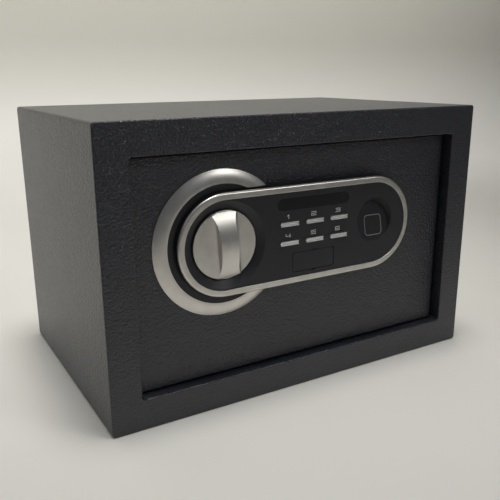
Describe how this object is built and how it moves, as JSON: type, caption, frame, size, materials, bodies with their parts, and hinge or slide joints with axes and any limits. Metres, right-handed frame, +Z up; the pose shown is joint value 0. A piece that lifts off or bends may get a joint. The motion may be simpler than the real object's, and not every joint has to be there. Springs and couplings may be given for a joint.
{
  "type": "electronic safe",
  "caption": "Small steel safe with a recessed hinged door, oval control panel with a turning knob, keys, display window and fingerprint reader, and sliding lock bolts.",
  "frame": {"origin": "centre of the cabinet's flat bottom face", "axes": "+Z up, the door faces -Y, +X to the right seen from the door"},
  "size_m": [0.31, 0.2045, 0.2],
  "materials": {
    "powder_coat": "black textured powder coat, semi-gloss",
    "felt": "dark grey needle felt",
    "satin_silver": "satin silver trim",
    "black_plastic": "fine matt moulded black",
    "dark_window": "glossy smoked black",
    "zinc_steel": "bright zinc plate",
    "ground_steel": "ground and plated steel",
    "screw_steel": "zinc-plated screws",
    "brass": "machined brass",
    "board": "green solder mask",
    "component": "black component bodies",
    "coil_tape": "taped winding",
    "cell_sleeve": "plain cell sleeves",
    "lead": "insulated leads and ribbon",
    "red_button": "red moulded button"
  },
  "bodies": {
    "cabinet": {"body_wrapper": "powder_coat", "front_frame": "powder_coat", "back_panel": "powder_coat", "bolt_keeper": "powder_coat", "hinge_plate_upper": "powder_coat", "hinge_plate_lower": "powder_coat", "floor_mat": "felt"},
    "door": {"door_panel": "powder_coat", "hinge_pins": "zinc_steel", "mechanism_cover": "powder_coat", "cover_posts": "zinc_steel", "board_posts": "zinc_steel", "pan_screws": "screw_steel", "bolt_guide": "zinc_steel", "guide_posts": "zinc_steel", "shoulder_screws": "screw_steel", "spindle_bush": "brass", "ring_base": "black_plastic", "ring_trim": "satin_silver", "panel_housing": "black_plastic", "bezel_trim": "satin_silver", "display_window": "dark_window", "display_module": "component", "keypad_board": "board", "tact_switches": "component", "fingerprint_frame": "satin_silver", "fingerprint_sensor": "dark_window", "panel_screws": "screw_steel", "lock_barrel": "ground_steel", "lock_nut": "zinc_steel", "solenoid_frame": "zinc_steel", "solenoid_coil": "coil_tape", "plunger_spring": "ground_steel", "main_board": "board", "board_parts": "component", "reset_switch": "component", "battery_box": "black_plastic", "battery_cells": "cell_sleeve", "battery_contacts": "zinc_steel", "keypad_cable": "lead", "wire_leads": "lead"},
    "knob_shaft": {"knob": "satin_silver", "knob_spindle": "ground_steel", "crank": "zinc_steel", "spindle_clip": "zinc_steel"},
    "bolt_work": {"bolt_carriage": "zinc_steel", "locking_bolts": "ground_steel"},
    "latch": {"solenoid_plunger": "ground_steel"},
    "key_plug": {"lock_plug": "brass", "lock_cam": "zinc_steel"},
    "key_cap": {"key_cover": "black_plastic"},
    "battery_lid": {"battery_cover": "black_plastic"},
    "reset": {"reset_button": "red_button"},
    "key_1": {"key_1": "satin_silver"},
    "key_2": {"key_2": "satin_silver"},
    "key_3": {"key_3": "satin_silver"},
    "key_4": {"key_4": "satin_silver"},
    "key_5": {"key_5": "satin_silver"},
    "key_6": {"key_6": "satin_silver"}
  },
  "joints": [
    {"name": "door_hinge", "type": "hinge", "parent": "cabinet", "child": "door", "pos_m": [0.119, -0.0857, 0.1], "axis": [0, 0, 1], "range_deg": [0, 100]},
    {"name": "knob_turn", "type": "hinge", "parent": "door", "child": "knob_shaft", "pos_m": [-0.0696, -0.095, 0.1162], "axis": [0, -1, 0], "range_deg": [0, 90]},
    {"name": "bolt_slide", "type": "slide", "parent": "door", "child": "bolt_work", "axis": [-1, 0, 0], "range_m": [0, 0.01415]},
    {"name": "latch_slide", "type": "slide", "parent": "door", "child": "latch", "axis": [0, 0, -1], "range_m": [0, 0.004], "stiffness_N_per_m": 30, "springref_m": 0.006, "deforming": ["plunger_spring"]},
    {"name": "emergency_key_turn", "type": "hinge", "parent": "door", "child": "key_plug", "pos_m": [0.0011, -0.08, 0.0961], "axis": [0, 1, 0], "range_deg": [0, 90]},
    {"name": "key_cap_pull", "type": "slide", "parent": "door", "child": "key_cap", "axis": [0, -1, 0], "range_m": [0, 0.02]},
    {"name": "battery_lid_pull", "type": "slide", "parent": "door", "child": "battery_lid", "axis": [0, 1, 0], "range_m": [0, 0.03]},
    {"name": "reset_press", "type": "slide", "parent": "door", "child": "reset", "axis": [0, -1, 0], "range_m": [0, 0.0015], "stiffness_N_per_m": 600},
    {"name": "key_1_press", "type": "slide", "parent": "door", "child": "key_1", "axis": [0, 1, 0], "range_m": [0, 0.0008], "stiffness_N_per_m": 800},
    {"name": "key_2_press", "type": "slide", "parent": "door", "child": "key_2", "axis": [0, 1, 0], "range_m": [0, 0.0008], "stiffness_N_per_m": 800},
    {"name": "key_3_press", "type": "slide", "parent": "door", "child": "key_3", "axis": [0, 1, 0], "range_m": [0, 0.0008], "stiffness_N_per_m": 800},
    {"name": "key_4_press", "type": "slide", "parent": "door", "child": "key_4", "axis": [0, 1, 0], "range_m": [0, 0.0008], "stiffness_N_per_m": 800},
    {"name": "key_5_press", "type": "slide", "parent": "door", "child": "key_5", "axis": [0, 1, 0], "range_m": [0, 0.0008], "stiffness_N_per_m": 800},
    {"name": "key_6_press", "type": "slide", "parent": "door", "child": "key_6", "axis": [0, 1, 0], "range_m": [0, 0.0008], "stiffness_N_per_m": 800}
  ],
  "couplings": [
    {"joint": "knob_turn", "follows": "bolt_slide", "rad_per_m": 111.01}
  ]
}
